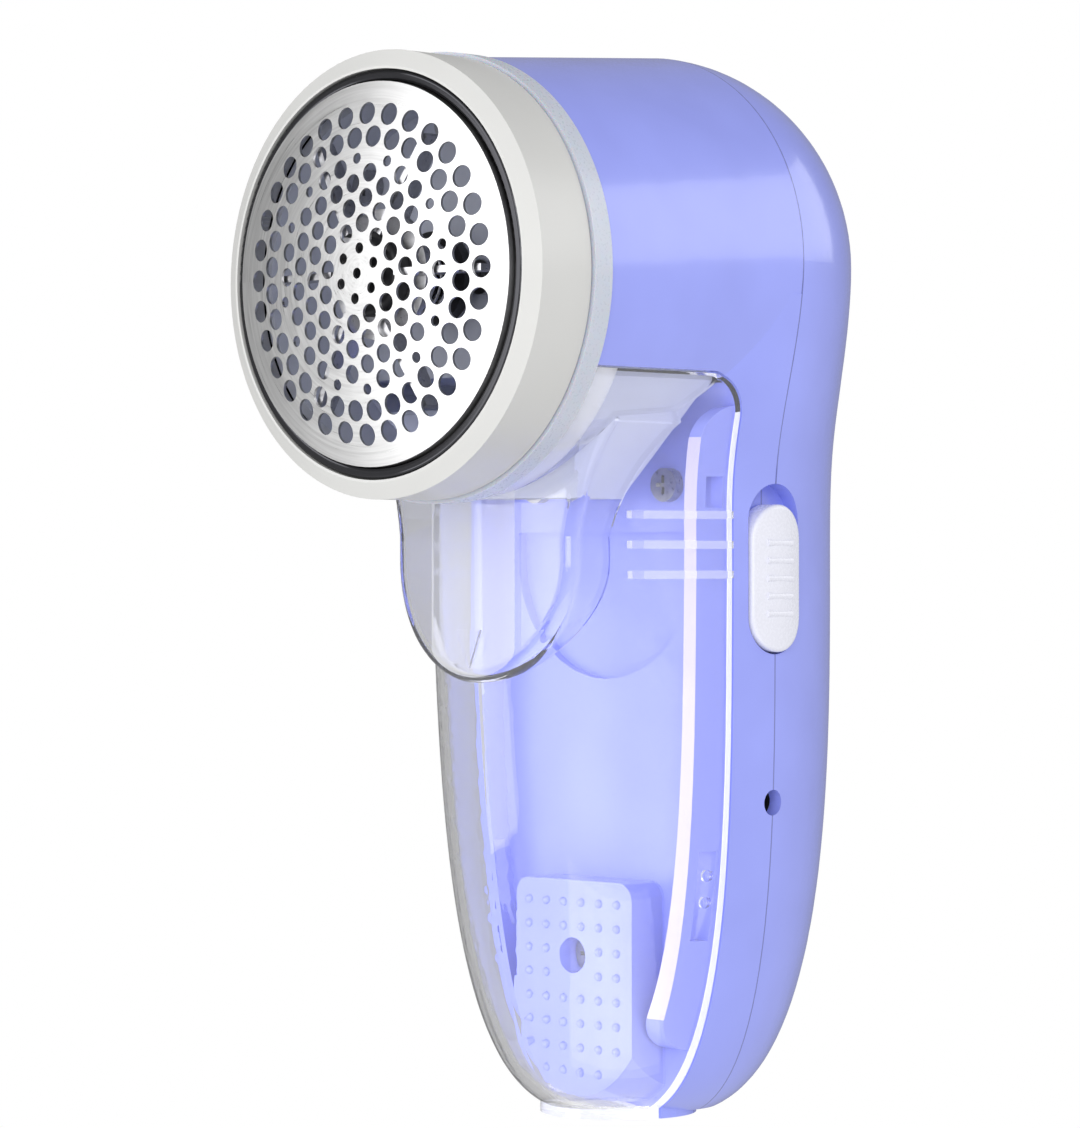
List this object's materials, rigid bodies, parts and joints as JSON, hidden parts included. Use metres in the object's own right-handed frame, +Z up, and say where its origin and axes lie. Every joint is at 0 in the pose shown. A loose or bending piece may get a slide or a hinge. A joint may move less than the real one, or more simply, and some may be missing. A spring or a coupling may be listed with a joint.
{
  "type": "fabric shaver",
  "caption": "Upright handheld fabric shaver with a round perforated foil head, a clear slide-off lint bin over the front of the handle, a side slide switch and a charging socket.",
  "frame": {"origin": "centre of the flat foot that the shaver stands on", "axes": "+Z up along the handle, the cutting head faces -Y, the slide switch and the socket are on the +X side"},
  "size_m": [0.0598, 0.083, 0.146],
  "materials": {
    "body_plastic": "glossy periwinkle moulding",
    "clear_plastic": "clear polished moulding",
    "frosted_plastic": "translucent bluish white",
    "ring_plastic": "satin pale grey",
    "polished_chrome": "polished",
    "foil_steel": "satin stainless",
    "chamber_plastic": "translucent grey white",
    "blade_steel": "ground",
    "dark_plastic": "matt black",
    "spring_steel": "drawn wire",
    "shaft_steel": "ground",
    "winding": "copper winding on steel poles",
    "can_steel": "zinc plated",
    "magnet": "sintered",
    "contact_brass": "plain",
    "bush_bronze": "sintered bronze",
    "screw_steel": "zinc plated",
    "knob_plastic": "white",
    "cell_wrap": "shrink wrap over a steel can, at a cell's real density",
    "board_green": "solder mask"
  },
  "bodies": {
    "body": {"front_housing": "body_plastic", "rear_housing": "body_plastic", "head_collar": "frosted_plastic", "cutter_chamber": "chamber_plastic", "motor_can": "can_steel", "motor_magnets": "magnet", "motor_end_cap": "dark_plastic", "motor_terminals": "contact_brass", "motor_bushes": "bush_bronze", "motor_bracket": "dark_plastic", "motor_screws": "screw_steel", "chamber_screws": "screw_steel", "housing_screws": "screw_steel", "switch_body": "dark_plastic", "switch_pins": "contact_brass", "charge_socket": "dark_plastic", "socket_tabs": "contact_brass", "battery_cells": "cell_wrap", "battery_contacts": "contact_brass", "circuit_board": "board_green", "board_parts": "dark_plastic"},
    "cutter_cap": {"guard_ring": "ring_plastic", "foil": "foil_steel", "foil_rim": "polished_chrome"},
    "rotor": {"motor_shaft": "shaft_steel", "armature": "winding", "drive_coupler": "dark_plastic", "blade_spring": "spring_steel"},
    "blade": {"cutter_blades": "blade_steel", "blade_hub": "dark_plastic"},
    "bin": {"lint_bin": "clear_plastic"},
    "switch": {"switch_knob": "knob_plastic"}
  },
  "joints": [
    {"name": "cap_twist", "type": "hinge", "parent": "body", "child": "cutter_cap", "pos_m": [0, -0.04, 0.1135], "axis": [0, 1, 0], "range_deg": [0, 30]},
    {"name": "rotor_spin", "type": "hinge", "parent": "body", "child": "rotor", "pos_m": [0, -0.03, 0.1135], "axis": [0, 1, 0], "continuous": true},
    {"name": "blade_float", "type": "slide", "parent": "rotor", "child": "blade", "axis": [0, 1, 0], "range_m": [0, 0.0008], "stiffness_N_per_m": 400, "springref_m": -0.0025, "deforming": ["blade_spring"]},
    {"name": "bin_slide", "type": "slide", "parent": "body", "child": "bin", "axis": [0, 0, -1], "range_m": [0, 0.115]},
    {"name": "switch_slide", "type": "slide", "parent": "body", "child": "switch", "axis": [0, 0, 1], "range_m": [0, 0.0025]}
  ]
}
